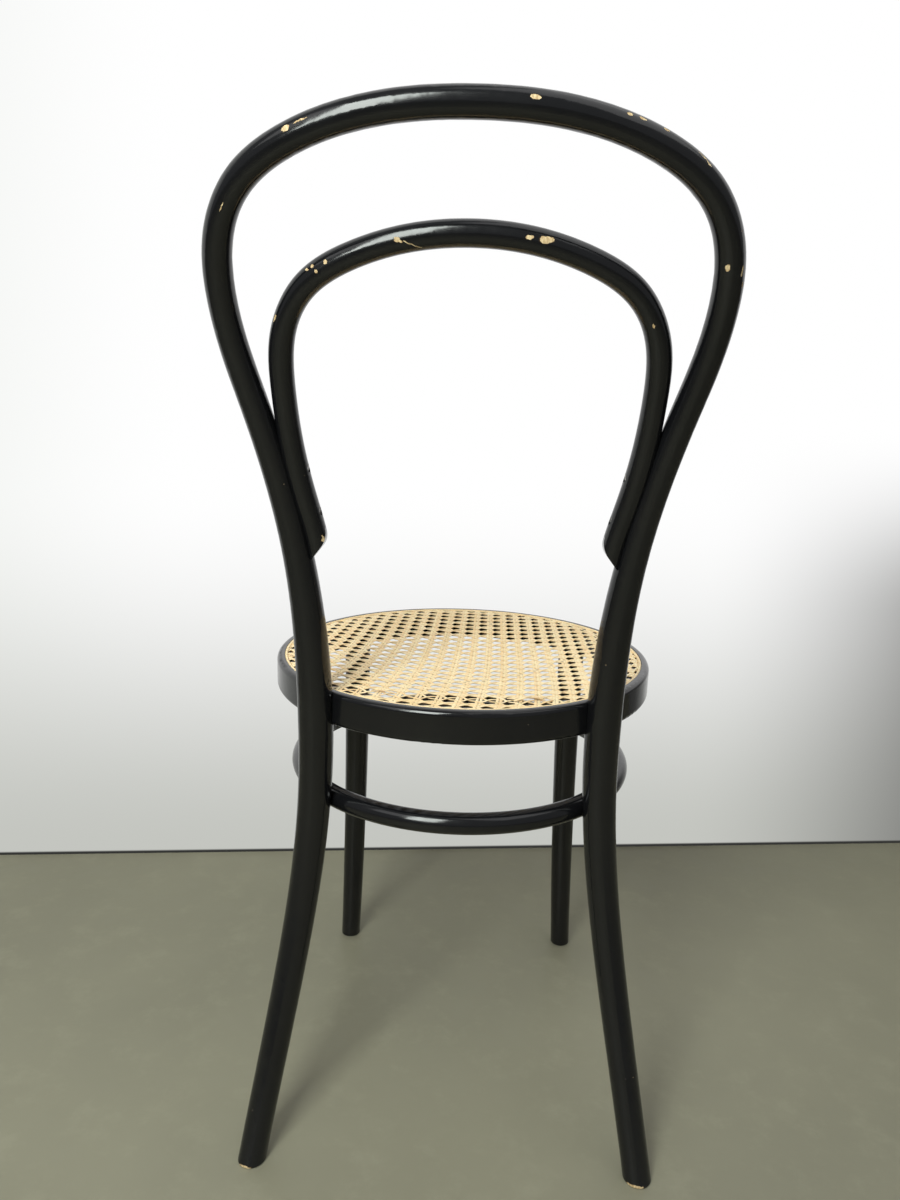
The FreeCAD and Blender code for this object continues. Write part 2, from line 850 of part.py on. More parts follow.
# Bolts, washers and insert nuts of the two seat joints
def hexagon(width):
    radius = width / math.sqrt(3)
    points = []
    for k in range(6):
        angle = k * math.pi / 3
        points.append(Vector(radius * math.cos(angle), radius * math.sin(angle), 0))
    return Part.Face(Part.makePolygon(points + points[:1]))


def bolt_solid():
    """Hexagon bolt: head below z = 0, shank above it."""
    head = hexagon(size("bolt_head_width")).extrude(Vector(0, 0, -size("bolt_head_height")))
    shank = Part.makeCylinder(size("bolt_diameter") / 2, size("bolt_length"))
    return head.fuse(shank).removeSplitter()


def washer_solid():
    disc = Part.makeCylinder(size("washer_diameter") / 2, size("washer_thickness"))
    hole = Part.makeCylinder(size("bolt_diameter") / 2 + size("fit_clearance"), size("washer_thickness"))
    return disc.cut(hole)


def insert_solid():
    body = Part.makeCylinder(size("insert_diameter") / 2, size("insert_length"))
    bore = Part.makeCylinder(size("bolt_diameter") / 2 + size("fit_clearance"), size("insert_length"))
    return body.cut(bore)


def make_joint_fasteners():
    washer_at = bolt_start() - size("washer_thickness")
    kits = {
        "seat_bolts": (bolt_solid(), washer_at),
        "seat_bolt_washers": (washer_solid(), washer_at),
        "leg_insert_nuts": (insert_solid(), joint_plane + size("bed_clearance")),
    }
    for name, (shape, distance) in kits.items():
        copies = []
        for hand in SIDES.values():
            origin = joint_frame(hand, distance).Base
            copies.append(placed(shape, along_axis(origin, joint_direction(hand))))
        keep(solid_feature(name + "_shape", Part.makeCompound(copies)), name)


def make_screws():
    kits = {
        "leg_ring_screws": (size("ring_screw_length"), ring_screws),
        "inner_hoop_screws": (size("hoop_screw_length"), hoop_screws),
    }
    for name, (length, places) in kits.items():
        screw = screw_with_slot(length)
        copies = [placed(screw, place) for place in places]
        keep(solid_feature(name + "_shape", Part.makeCompound(copies)), name)


make_back_frame()
make_inner_hoop()
make_seat_ring()
make_cane_seat()
make_cane_spline()
for tag, hand in SIDES.items():
    make_front_leg(tag, hand)
make_leg_ring()
make_joint_fasteners()
make_screws()
doc.recompute()

# Check everything before anything is written
for feature in doc.Objects:
    if "Invalid" in feature.State or "Error" in feature.State:
        raise RuntimeError(f"{feature.Label} did not compute")
for name, part in nodes.items():
    if part.Shape.isNull() or not part.Shape.isValid() or not part.Shape.Solids:
        raise RuntimeError(f"{name} has no valid solid")

os.makedirs("parts", exist_ok=True)
for name, part in nodes.items():
    part.Shape.exportStep(f"parts/{name}.step")
    print(name, "solids", len(part.Shape.Solids), "volume", round(part.Shape.Volume / 1000, 1), "cm3")
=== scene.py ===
import math
import random

import bmesh
import bpy
import numpy as np
from mathutils import Matrix, Vector


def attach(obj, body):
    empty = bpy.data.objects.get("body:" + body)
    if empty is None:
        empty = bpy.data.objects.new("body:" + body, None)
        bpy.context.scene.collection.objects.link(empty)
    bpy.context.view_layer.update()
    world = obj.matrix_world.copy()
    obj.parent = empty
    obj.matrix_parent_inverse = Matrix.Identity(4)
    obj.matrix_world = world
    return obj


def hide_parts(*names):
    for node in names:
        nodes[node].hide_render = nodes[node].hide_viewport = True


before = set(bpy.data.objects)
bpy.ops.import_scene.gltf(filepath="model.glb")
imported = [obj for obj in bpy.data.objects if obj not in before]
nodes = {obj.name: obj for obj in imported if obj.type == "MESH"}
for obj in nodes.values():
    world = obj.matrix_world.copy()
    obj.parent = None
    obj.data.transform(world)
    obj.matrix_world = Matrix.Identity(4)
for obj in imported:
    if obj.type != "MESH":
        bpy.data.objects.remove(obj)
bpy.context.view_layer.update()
dice = random.Random(7)

# Lengths are in metres, unless a comment says mm
MM = 0.001

LACQUERED = ("back_frame", "inner_back_hoop", "seat_ring",
             "front_leg_left", "front_leg_right", "leg_ring")
FASTENERS = ("seat_bolts", "seat_bolt_washers", "leg_insert_nuts",
             "leg_ring_screws", "inner_hoop_screws")

# Places shared with the chair's solids: the seat's middle, the ledge that carries the cane,
# and the inside of the seat ring
SEAT_Y = -0.06372
LEDGE_TOP = 0.456
RING_INSIDE = 0.179


# Helpers for materials

def blank_material(name):
    material = bpy.data.materials.new(name)
    material.use_nodes = True
    tree = material.node_tree
    shader = tree.nodes["Principled BSDF"]
    return material, tree, shader


def node(tree, kind, inputs=None, **settings):
    """Add a node, set its properties, and feed its sockets with values or other sockets."""
    made = tree.nodes.new(kind)
    for key, value in settings.items():
        setattr(made, key, value)
    for key, value in (inputs or {}).items():
        if isinstance(value, bpy.types.NodeSocket):
            tree.links.new(value, made.inputs[key])
        else:
            made.inputs[key].default_value = value
    return made


def object_place(tree):
    return node(tree, "ShaderNodeTexCoord").outputs["Object"]


def attribute(tree, name, output="Fac"):
    return node(tree, "ShaderNodeAttribute", attribute_name=name).outputs[output]


def math_node(tree, operation, first, second=0.0):
    return node(tree, "ShaderNodeMath", {0: first, 1: second}, operation=operation).outputs[0]


def vector_math(tree, operation, inputs):
    return node(tree, "ShaderNodeVectorMath", inputs, operation=operation).outputs


def noise(tree, place, scale, detail=3.0, roughness=0.55, output="Fac"):
    made = node(tree, "ShaderNodeTexNoise", {
        "Vector": place, "Scale": scale, "Detail": detail, "Roughness": roughness})
    return made.outputs[output]


def stretch(tree, place, scale):
    return node(tree, "ShaderNodeMapping", {"Vector": place, "Scale": scale}).outputs["Vector"]


def ramp(tree, value, low, high, to_low=0.0, to_high=1.0):
    """Turn low..high into to_low..to_high with soft ends. Low may be the larger one."""
    made = node(tree, "ShaderNodeMapRange", {
        "Value": value, "From Min": low, "From Max": high, "To Min": to_low, "To Max": to_high},
        interpolation_type="SMOOTHSTEP")
    return made.outputs["Result"]


def blend_colours(tree, amount, first, second):
    made = node(tree, "ShaderNodeMix", {0: amount, 6: first, 7: second}, data_type="RGBA")
    return made.outputs[2]


def blend_values(tree, amount, first, second):
    return node(tree, "ShaderNodeMix", {0: amount, 2: first, 3: second}).outputs[0]


def blend_shaders(tree, amount, first, second):
    return node(tree, "ShaderNodeMixShader", {0: amount, 1: first, 2: second}).outputs[0]


def bump(tree, height, depth, strength=1.0, under=None):
    """Relief of the given depth, on top of the relief under it."""
    made = node(tree, "ShaderNodeBump", {"Height": height, "Distance": depth, "Strength": strength})
    if under is not None:
        tree.links.new(under, made.inputs["Normal"])
    return made.outputs["Normal"]


def put_material(piece, material):
    piece.data.materials.clear()
    piece.data.materials.append(material)


# Black lacquer, chipped to the beech where the chair is held and knocked

CLOUDY_BLACKS = ((0.0036, 0.0038, 0.0046, 1), (0.0072, 0.0072, 0.0082, 1))
BEECH_TONES = ((0.46, 0.31, 0.15, 1), (0.72, 0.56, 0.32, 1))
CHIP_STAIN = (0.040, 0.022, 0.011, 1)
PIN_PRICK = (0.22, 0.15, 0.08, 1)
PIN_PRICKED_PATCH = 0.64
ALONG_GRAIN = (1.0, 1.0, 0.25)
BARE_WOOD_ROUGHNESS = 0.62
RAGGED_BY = 0.0030

# Each worn spot, and one painted highlight streak: its middle, the way it runs, and half its
# length, width and depth, in mm
WORN_SPOTS_AND_HIGHLIGHT_STREAK = [
    ((127.7, 254.4, 909.6), (-0.85, 0.15, 0.50), (3.8, 1.6, 2.5)),
    # Painted highlight: a thin bare streak where the outer hoop's highlight breaks into light
    # flecks
    ((117.0, 256.7, 914.0), (-0.92, 0.20, 0.34), (7.0, 0.35, 1.2)),
    ((-39.5, 265.7, 928.7), (-0.99, -0.03, -0.10), (3.8, 1.3, 2)),
    ((-102.2, 258.0, 921.7), (-0.93, -0.15, -0.32), (2.6, 1.3, 2)),
    ((-111.3, 255.6, 919.6), (-0.94, -0.13, -0.33), (3.0, 1.3, 2)),
    ((-128.4, 251.1, 914.2), (-0.90, -0.23, -0.37), (2.6, 1.0, 2)),
    ((-156.8, 243.4, 899.0), (-0.72, -0.07, -0.69), (9.0, 0.5, 1.5)),
    ((-185.9, 214.3, 832.3), (0.04, 0.52, 0.85), (3.2, 2.1, 2.5)),
    ((-197.4, 211.2, 830.2), (0.01, 0.37, 0.93), (5.0, 0.8, 2)),
    ((-199.7, 205.6, 821.8), (0.00, 0.33, 0.94), (3.2, 0.8, 2)),
    ((178.5, 230.9, 862.6), (-0.47, 0.42, 0.78), (4.2, 0.35, 1.2)),
    ((-53.9, 219.7, 847.9), (-0.99, -0.11, -0.01), (6.6, 2.6, 3)),
    ((-41.6, 221.0, 849.1), (-1.00, -0.07, -0.02), (3.4, 0.8, 2)),
    ((54.0, 219.7, 845.4), (-0.93, -0.15, -0.30), (5.5, 1.1, 2)),
    ((43.0, 218.4, 842.4), (-0.92, -0.25, -0.30), (12.0, 0.45, 1.3)),
    ((118.4, 206.7, 827.1), (-0.79, 0.18, 0.59), (1.8, 1.4, 2)),
    ((122.4, 205.3, 824.9), (-0.78, 0.22, 0.58), (1.5, 1.0, 2)),
    ((115.1, 208.3, 823.6), (-0.78, 0.26, 0.57), (1.5, 1.0, 2)),
    ((108.1, 210.2, 830.3), (-0.79, 0.16, 0.60), (1.5, 1.3, 2)),
    ((150.6, 189.2, 790.6), (-0.34, 0.39, 0.85), (3.8, 0.9, 2)),
    ((-139.2, 194.5, 791.9), (-0.30, -0.40, -0.86), (2.2, 0.9, 2)),
    ((121.0, 129.2, 607.0), (0.4, 0.3, 0.9), (9, 2.0, 4)),
    ((-128.5, 109.0, 592.5), (0.3, 0.4, 0.9), (6, 3.0, 3)),
    ((191.9, 182.8, 1.0), (1.0, 0.3, 0.0), (9, 6.0, 2.5)),
    ((-184.5, 182.0, 1.5), (1.0, -0.3, 0.0), (9, 5.0, 2.5)),
]


def ragged_place(tree, place):
    """The place, pushed about at random, so that the edges of the worn spots are ragged."""
    wander = noise(tree, place, scale=260.0, detail=4.0, roughness=0.5, output="Color")
    shift = vector_math(tree, "SUBTRACT", {0: wander, 1: (0.5, 0.5, 0.5)})[0]
    shift = vector_math(tree, "SCALE", {0: shift, "Scale": RAGGED_BY})[0]
    return vector_math(tree, "ADD", {0: place, 1: shift})[0]


def worn_and_streak_mask(tree, place):
    """1 in the middle of each worn spot and of the painted highlight streak, falling to 0 at its
    edge.
    """
    ragged = ragged_place(tree, place)
    mask = None
    for centre, along, sizes in WORN_SPOTS_AND_HIGHLIGHT_STREAK:
        local = node(tree, "ShaderNodeMapping", {
            "Vector": ragged,
            "Location": [c * MM for c in centre],
            "Rotation": Vector(along).to_track_quat("X", "Z").to_euler(),
            "Scale": [s * MM for s in sizes]}, vector_type="TEXTURE").outputs["Vector"]
        far = vector_math(tree, "LENGTH", {0: local})["Value"]
        spot = ramp(tree, far, low=1.12, high=0.55)
        mask = spot if mask is None else math_node(tree, "MAXIMUM", mask, spot)
    return mask


def pin_pricks(tree, place):
    """1 in tiny chips all over the lacquer, a few per hand's width, and 0 elsewhere."""
    cells = node(tree, "ShaderNodeTexVoronoi", {"Vector": place, "Scale": 90.0}, feature="F1")
    middle = ramp(tree, cells.outputs["Distance"], low=0.06, high=0.035)
    patches = noise(tree, place, scale=23.0, detail=2.0)
    chosen = math_node(tree, "GREATER_THAN", patches, PIN_PRICKED_PATCH)
    return math_node(tree, "MULTIPLY", middle, chosen)


def black_lacquer():
    """Glossy black over beech, bare in the worn spots, the painted highlight streak and the
    pin-pricks.
    """
    material, tree, shader = blank_material("black_lacquer")
    place = object_place(tree)
    black = blend_colours(tree, noise(tree, place, scale=9.0, detail=4.0), *CLOUDY_BLACKS)
    grain = noise(tree, stretch(tree, place, ALONG_GRAIN), scale=620.0, detail=2.0)
    beech = blend_colours(tree, ramp(tree, grain, low=0.35, high=0.65), *BEECH_TONES)
    worn = worn_and_streak_mask(tree, place)
    stained = blend_colours(tree, ramp(tree, worn, low=0.10, high=0.35), black, CHIP_STAIN)
    bare = ramp(tree, worn, low=0.35, high=0.5)
    colour = blend_colours(tree, bare, stained, beech)
    prick = pin_pricks(tree, place)
    colour = blend_colours(tree, prick, colour, PIN_PRICK)
    tree.links.new(colour, shader.inputs["Base Color"])

    smears = noise(tree, place, scale=26.0, detail=5.0, roughness=0.65)
    gloss = ramp(tree, smears, low=0.35, high=0.7, to_low=0.11, to_high=0.21)
    dry = math_node(tree, "MAXIMUM", bare, prick)
    tree.links.new(blend_values(tree, dry, gloss, BARE_WOOD_ROUGHNESS), shader.inputs["Roughness"])
    shader.inputs["Specular IOR Level"].default_value = 0.5

    # The coat's soft waves, then the fine pull of the brush, then the chips sunk into it
    waves = bump(tree, noise(tree, place, scale=48.0, detail=2.0), depth=0.00030, strength=0.45)
    pull = bump(tree, noise(tree, place, scale=420.0), depth=0.00005, strength=0.4, under=waves)
    coat = math_node(tree, "SUBTRACT", 1.0, dry)
    sunk = bump(tree, coat, depth=0.0004, strength=0.8, under=pull)
    tree.links.new(sunk, shader.inputs["Normal"])
    return material


# Fasteners of dull steel

STEEL_TONES = ((0.42, 0.41, 0.39, 1), (0.20, 0.17, 0.14, 1))


def steel():
    """Zinc-plated steel with stains, rougher where it is stained."""
    material, tree, shader = blank_material("dull_steel")
    place = object_place(tree)
    stain = noise(tree, place, scale=260.0, detail=4.0)
    colour = blend_colours(tree, ramp(tree, stain, low=0.4, high=0.7), *STEEL_TONES)
    tree.links.new(colour, shader.inputs["Base Color"])
    shader.inputs["Metallic"].default_value = 1.0
    rough = ramp(tree, stain, low=0.3, high=0.8, to_low=0.28, to_high=0.6)
    tree.links.new(rough, shader.inputs["Roughness"])
    pitted = bump(tree, noise(tree, place, scale=1500.0, detail=2.0), depth=0.00005, strength=0.6)
    tree.links.new(pitted, shader.inputs["Normal"])
    return material


# Rattan, for the woven cane and for the reed that holds it

PALE_CANE = (0.97, 0.79, 0.49, 1)
HONEY_CANE = (0.90, 0.64, 0.33, 1)
DARK_CANE = (0.52, 0.33, 0.16, 1)
STRAND_EDGE_AND_SHADE = (0.40, 0.235, 0.10, 1)
ALONG_STRAND = (1.0, 1.0, 0.02)
UNSTRETCHED = (1.0, 1.0, 1.0)


def cane(name, along_fibre, woven):
    """Rattan: pale straw with long streaks. Each woven strand has its own tone, and darker sides
    and underside: partly its own dark edges, partly painted shade.
    """
    material, tree, shader = blank_material(name)
    if woven:
        tone = attribute(tree, "tone")
        place = attribute(tree, "fibre", output="Vector")
    else:
        place = object_place(tree)
        tone = noise(tree, place, scale=14.0, detail=2.0)
    streaks = noise(tree, stretch(tree, place, along_fibre), scale=1600.0)
    patches = noise(tree, place, scale=40.0)
    colour = blend_colours(tree, ramp(tree, tone, low=0.0, high=1.0), PALE_CANE, HONEY_CANE)
    streaky = ramp(tree, streaks, low=0.45, high=0.85, to_high=0.5)
    colour = blend_colours(tree, streaky, colour, HONEY_CANE)
    aged = ramp(tree, patches, low=0.62, high=0.80, to_high=0.28)
    colour = blend_colours(tree, aged, colour, DARK_CANE)
    if woven:
        # Partly painted shade: the sides and undersides of strands darkened, for their own dark
        # edges and for the shade between and under them
        edge = ramp(tree, attribute(tree, "edge"), low=0.0, high=1.0, to_high=0.7)
        colour = blend_colours(tree, edge, colour, STRAND_EDGE_AND_SHADE)
    tree.links.new(colour, shader.inputs["Base Color"])
    rough = ramp(tree, streaks, low=0.3, high=0.7, to_low=0.38, to_high=0.55)
    tree.links.new(rough, shader.inputs["Roughness"])
    tree.links.new(bump(tree, streaks, depth=0.00012, strength=0.6), shader.inputs["Normal"])
    shader.inputs["Subsurface Weight"].default_value = 0.05
    shader.inputs["Subsurface Radius"].default_value = (0.002, 0.001, 0.0005)
    return material


# Woven seat. The sheet was drawn over the ring by hand, so its rows and columns fan and bow,
# and it sags under years of use. Mesh a, b lies at these sums of powers of a / 10 and b / 10,
# in mm from the seat's middle. Pairs of strands run half-way between whole numbers.

ACROSS = {(0, 0): -17.9, (1, 0): 177.4, (0, 1): 7.2, (1, 1): 14.1, (2, 0): 10.0, (0, 2): 4.6,
          (3, 0): -13.9, (2, 1): 4.6, (1, 2): 2.9, (0, 3): 1.6}
DEEP = {(0, 0): 45.7, (1, 0): -4.4, (0, 1): 167.1, (1, 1): -3.3, (2, 0): -20.6, (0, 2): -8.0,
        (3, 0): 1.0, (2, 1): -8.5, (1, 2): -1.9, (0, 3): -6.3}
SAG = 0.0064

# Meshes counted to each side of mesh 0, 0, and the points on a strand for each of them
REACH = 16
STEPS_PER_MESH = 8

# Columns and rows run in pairs. Each strand lies this far from its pair's middle, in meshes,
# and the hump where it crosses another strand is this wide, in meshes.
PAIR_SPREAD = 0.091
HUMP_WIDTH = 0.075
STRAIGHT_WAVE = 0.32 * MM
SLANTING_WAVE = 0.58 * MM

# The sheet's middle above the ledge, and how the weave lies flatter over the ledge
SHEET_ABOVE_LEDGE = 0.00085
LEDGE_FLATTENING = 0.45
FLATTENING_MARGIN = 0.004
FLATTENING_BAND = 0.006

# Where a strand turns down into the groove, and how far out and down its end then goes
RIM_END = 0.1911
RIM_ABOVE_LEDGE = 0.0006
FOLDED_END = ((0.0006, 0.0012), (0.0007, 0.0045))
FEWEST_POINTS = 8

# Cross-section of a strand, as shares of its half width and its thickness. The corners of its
# crown are named by their number. The others belong to its flat side and its edges.
STRAIGHT_WIDTH = 0.0031
SLANTING_WIDTH = 0.0029
STRAND_THICKNESS = 0.0006
PROFILE = [(-0.92, -0.5), (0.92, -0.5), (1.0, 0.0), (0.72, 0.42), (0.0, 0.55), (-0.72, 0.42),
           (-1.0, 0.0)]
CROWN_CORNERS = (3, 4, 5)

# Strands differ a little in width and also swell and shrink along their length
WIDTH_RANGE = (0.9, 1.08)
SWELL = 0.05
SWELL_TURN = 0.11
SWELL_PHASES = 6.28

# Each strand reads its own stretch of the streaks, which start up to this far along, and each
# corner of its profile lies this far from the last
STREAK_STARTS = 50
PROFILE_STEP = 0.0007

# One pair of rows near the back has come out of the weave, and bits of it stand up there.
# Each frayed end: the meshes where it starts and ends, and how high it arches, in mm.
LOST_ROW = 7
FRAYED_ENDS = [
    ((-2.25, 7.62), (-3.9, 7.25), 3.2),
    ((-3.2, 6.9), (-4.4, 7.3), 1.6),
    ((-1.9, 7.1), (-2.7, 7.75), 1.2),
    ((3.6, 7.5), (4.9, 7.2), 1.5),
]
FRAYED_ABOVE_SHEET = 0.9
FRAYED_STEPS = 12


def woven_place(a, b):
    """Where mesh a, b of the sheet lies, measured from the seat's middle."""
    a, b = a / 10, b / 10
    x = sum(c * a ** i * b ** j for (i, j), c in ACROSS.items())
    y = sum(c * a ** i * b ** j for (i, j), c in DEEP.items())
    return x * MM, y * MM


def resting_height(radius):
    """Height of the sheet's middle: flat on the ledge, sagging inside the ring."""
    inside = max(0.0, 1.0 - (radius / RING_INSIDE) ** 2)
    return LEDGE_TOP + SHEET_ABOVE_LEDGE - SAG * inside ** 2


def straight_wave(t):
    """Height wave of a column or row, from -1 to 1, where t counts meshes along it."""
    off = t - math.floor(t) - 0.5
    first = math.exp(-((off + PAIR_SPREAD) / HUMP_WIDTH) ** 2)
    second = math.exp(-((off - PAIR_SPREAD) / HUMP_WIDTH) ** 2)
    return first - second


def slanting_wave(a):
    """Height wave of a slanting strand: -1 over the columns that it crosses and 1 over the rows."""
    return math.cos(2 * math.pi * a)


def folded_end(near, far):
    """The last points of a strand: where it meets the rim, then down into the groove."""
    share = (RIM_END - near[3]) / (far[3] - near[3])
    rim = Vector(near[:3]).lerp(Vector(far[:3]), share)
    rim.z = LEDGE_TOP + RIM_ABOVE_LEDGE
    outward = Vector((rim.x, rim.y, 0)).normalized()
    return [rim] + [rim + outward * out + Vector((0, 0, -down)) for out, down in FOLDED_END]


def strand_path(place_at, wave_at, steps):
    """Points of one strand from rim to rim, or None if it misses the seat."""
    points = []
    for t in steps:
        x, y = place_at(t)
        radius = math.hypot(x, y)
        over_ledge = (radius - RING_INSIDE + FLATTENING_MARGIN) / FLATTENING_BAND
        calm = 1.0 - LEDGE_FLATTENING * min(1.0, max(0.0, over_ledge))
        points.append((x, y, resting_height(radius) + wave_at(t) * calm, radius))
    inside = [k for k, point in enumerate(points) if point[3] < RIM_END]
    if len(inside) < FEWEST_POINTS:
        return None
    first, last = inside[0], inside[-1]
    if first == 0 or last == len(points) - 1:
        return None
    path = [Vector(point[:3]) for point in points[first:last + 1]]
    start = folded_end(points[first], points[first - 1])
    end = folded_end(points[last], points[last + 1])
    return start[::-1] + path + end


def loose_end(start, end, arch):
    """Points of a short strand that stands off the sheet in an arch."""
    points = []
    for k in range(FRAYED_STEPS + 1):
        share = k / FRAYED_STEPS
        x, y = woven_place(*(s + (e - s) * share for s, e in zip(start, end)))
        rise = FRAYED_ABOVE_SHEET + arch * math.sin(math.pi * share)
        points.append(Vector((x, y, resting_height(math.hypot(x, y)) + rise * MM)))
    return points


def mesh_steps(reach):
    return [k / STEPS_PER_MESH for k in range(-reach * STEPS_PER_MESH, reach * STEPS_PER_MESH + 1)]


def straight_strands():
    """Columns run from front to back and rows run across, over and under each other in turn."""
    steps = mesh_steps(REACH)
    columns, rows = [], []
    for mesh in range(-REACH, REACH):
        for side, sign in ((-PAIR_SPREAD, 1), (PAIR_SPREAD, -1)):
            line = mesh + 0.5 + side
            columns.append(strand_path(
                lambda t: woven_place(line, t),
                lambda t: sign * straight_wave(t) * STRAIGHT_WAVE, steps))
            if mesh != LOST_ROW:
                rows.append(strand_path(
                    lambda t: woven_place(t, line),
                    lambda t: -sign * straight_wave(t) * STRAIGHT_WAVE, steps))
    rows += [loose_end(*frayed) for frayed in FRAYED_ENDS]
    return columns, rows


def slanting_strands():
    """Rising strands go over the columns and under the rows. Falling ones do the opposite."""
    steps = mesh_steps(2 * REACH)
    rising, falling = [], []
    for mesh in range(-2 * REACH, 2 * REACH):
        line = mesh + 0.5
        rising.append(strand_path(
            lambda t: woven_place(line / 2 + t / 2, line / 2 - t / 2),
            lambda t: -SLANTING_WAVE * slanting_wave(line / 2 + t / 2), steps))
        falling.append(strand_path(
            lambda t: woven_place(line / 2 + t / 2, -line / 2 + t / 2),
            lambda t: SLANTING_WAVE * slanting_wave(line / 2 + t / 2), steps))
    return rising, falling


def strand_profile(width):
    """Cross-section of a split cane: flat below, crowned above."""
    outline = bpy.data.curves.new("strand_profile", "CURVE")
    outline.dimensions = "2D"
    spline = outline.splines.new("POLY")
    spline.points.add(len(PROFILE) - 1)
    for point, (across, up) in zip(spline.points, PROFILE):
        point.co = (across * width / 2, up * STRAND_THICKNESS, 0, 1)
    spline.use_cyclic_u = True
    return bpy.data.objects.new("strand_profile", outline)


def swept_strands(name, paths, width):
    """One mesh of the strand profile, swept along every path and closed at both ends."""
    profile = strand_profile(width)
    curve = bpy.data.curves.new(name + "_paths", "CURVE")
    curve.dimensions = "3D"
    curve.twist_mode = "Z_UP"
    curve.bevel_mode = "OBJECT"
    curve.bevel_object = profile
    curve.use_fill_caps = True
    for path in paths:
        spline = curve.splines.new("POLY")
        spline.points.add(len(path) - 1)
        wide = dice.uniform(*WIDTH_RANGE)
        drift = dice.uniform(0, SWELL_PHASES)
        for k, (point, spot) in enumerate(zip(spline.points, path)):
            point.co = (spot.x, spot.y + SEAT_Y, spot.z, 1)
            point.radius = wide * (1 + SWELL * math.sin(drift + k * SWELL_TURN))
    holder = bpy.data.objects.new(name + "_paths", curve)
    bpy.context.scene.collection.objects.link(holder)
    bpy.context.view_layer.update()
    ready = holder.evaluated_get(bpy.context.evaluated_depsgraph_get())
    mesh = bpy.data.meshes.new_from_object(ready)
    mesh.name = name
    bpy.data.objects.remove(holder)
    bpy.data.objects.remove(profile)
    expected = sum(len(path) + 2 for path in paths) * len(PROFILE)
    if len(mesh.vertices) != expected:
        raise RuntimeError(f"{name} has {len(mesh.vertices)} vertices, not {expected}")
    return mesh


def mark_strands(mesh, paths):
    """Give each corner its strand's tone, its place along the fibre, and 1 if it is at an edge,
    where the colour is darkened, partly as painted shade.
    """
    sides = len(PROFILE)
    tone, fibre, edge = [], [], []
    for path in paths:
        shade = dice.random()
        start = dice.uniform(0, STREAK_STARTS)
        run = 0.0
        for k, spot in enumerate(path):
            if k:
                run += (spot - path[k - 1]).length
            for side in range(sides):
                tone.append(shade)
                fibre.append((side * PROFILE_STEP, start, start + run))
                edge.append(float(side not in CROWN_CORNERS))
        # The two end caps have corners of their own
        tone += [shade] * (2 * sides)
        fibre += [(0.0, start, start)] * (2 * sides)
        edge += [1.0] * (2 * sides)
    mesh.attributes.new("tone", "FLOAT", "POINT").data.foreach_set("value", tone)
    mesh.attributes.new("edge", "FLOAT", "POINT").data.foreach_set("value", edge)
    along = mesh.attributes.new("fibre", "FLOAT_VECTOR", "POINT")
    along.data.foreach_set("vector", np.array(fibre).ravel())


def weave_piece(name, paths, width, material):
    """One piece of the seat: all strands that run the same way and cross the seat."""
    paths = [path for path in paths if path]
    mesh = swept_strands(name, paths, width)
    mark_strands(mesh, paths)
    mesh.polygons.foreach_set("use_smooth", [True] * len(mesh.polygons))
    piece = bpy.data.objects.new(name, mesh)
    bpy.context.scene.collection.objects.link(piece)
    put_material(piece, material)
    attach(piece, "root")
    return piece


def woven_seat():
    skin = cane("cane_skin", ALONG_STRAND, woven=True)
    columns, rows = straight_strands()
    rising, falling = slanting_strands()
    first = weave_piece("cane_columns", columns, STRAIGHT_WIDTH, skin)
    weave_piece("cane_rows", rows, STRAIGHT_WIDTH, skin)
    weave_piece("cane_rising", rising, SLANTING_WIDTH, skin)
    weave_piece("cane_falling", falling, SLANTING_WIDTH, skin)
    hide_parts("cane_seat")


# Room: a pale floor, and a white wall that the chair faces and the camera sees beyond it

WALL_MIDDLE = (0.0, -0.473, 0.0)
WALL_TURN = 0.1148
FLOOR_TONES = ((0.270, 0.256, 0.184, 1), (0.234, 0.222, 0.160, 1))
FLOOR_MOTTLE = (0.318, 0.302, 0.222, 1)
WALL_WHITE = (0.80, 0.80, 0.79, 1)

# The wall as a backdrop: full white, with painted shade on it: a dimmer, greener tint at its left,
# dimmer near the floor, dark in its right corner, and a painted shadow line along its foot. Left
# and right are as the camera sees them.
BACKDROP_WHITE = (1, 1, 1, 1)
BACKDROP_LEFT_SHADE = (0.89, 0.905, 0.88, 1)
BACKDROP_LOW_SHADE = (0.55, 0.56, 0.525, 1)
BACKDROP_CORNER_SHADE = (0.17, 0.17, 0.162, 1)
FOOT_SHADOW_LINE = (0.035, 0.035, 0.033, 1)


def show_front_only(tree, surface):
    """Leave a sheet's back clear, so that the floor and the wall never hide the chair."""
    back = node(tree, "ShaderNodeNewGeometry").outputs["Backfacing"]
    clear = node(tree, "ShaderNodeBsdfTransparent").outputs[0]
    either = blend_shaders(tree, back, surface, clear)
    tree.links.new(either, tree.nodes["Material Output"].inputs["Surface"])


def floor_paint():
    """Bare pale floor with soft clouds and a finer mottle."""
    material, tree, shader = blank_material("pale_floor")
    place = object_place(tree)
    cloud = noise(tree, place, scale=2.2, detail=5.0)
    mottle = noise(tree, place, scale=19.0, detail=5.0, roughness=0.7)
    colour = blend_colours(tree, ramp(tree, cloud, low=0.3, high=0.7), *FLOOR_TONES)
    mottled = ramp(tree, mottle, low=0.45, high=0.75, to_high=0.5)
    colour = blend_colours(tree, mottled, colour, FLOOR_MOTTLE)
    tree.links.new(colour, shader.inputs["Base Color"])
    rough = ramp(tree, mottle, low=0.3, high=0.7, to_low=0.38, to_high=0.55)
    tree.links.new(rough, shader.inputs["Roughness"])
    shader.inputs["Specular IOR Level"].default_value = 0.35
    show_front_only(tree, shader.outputs[0])
    return material


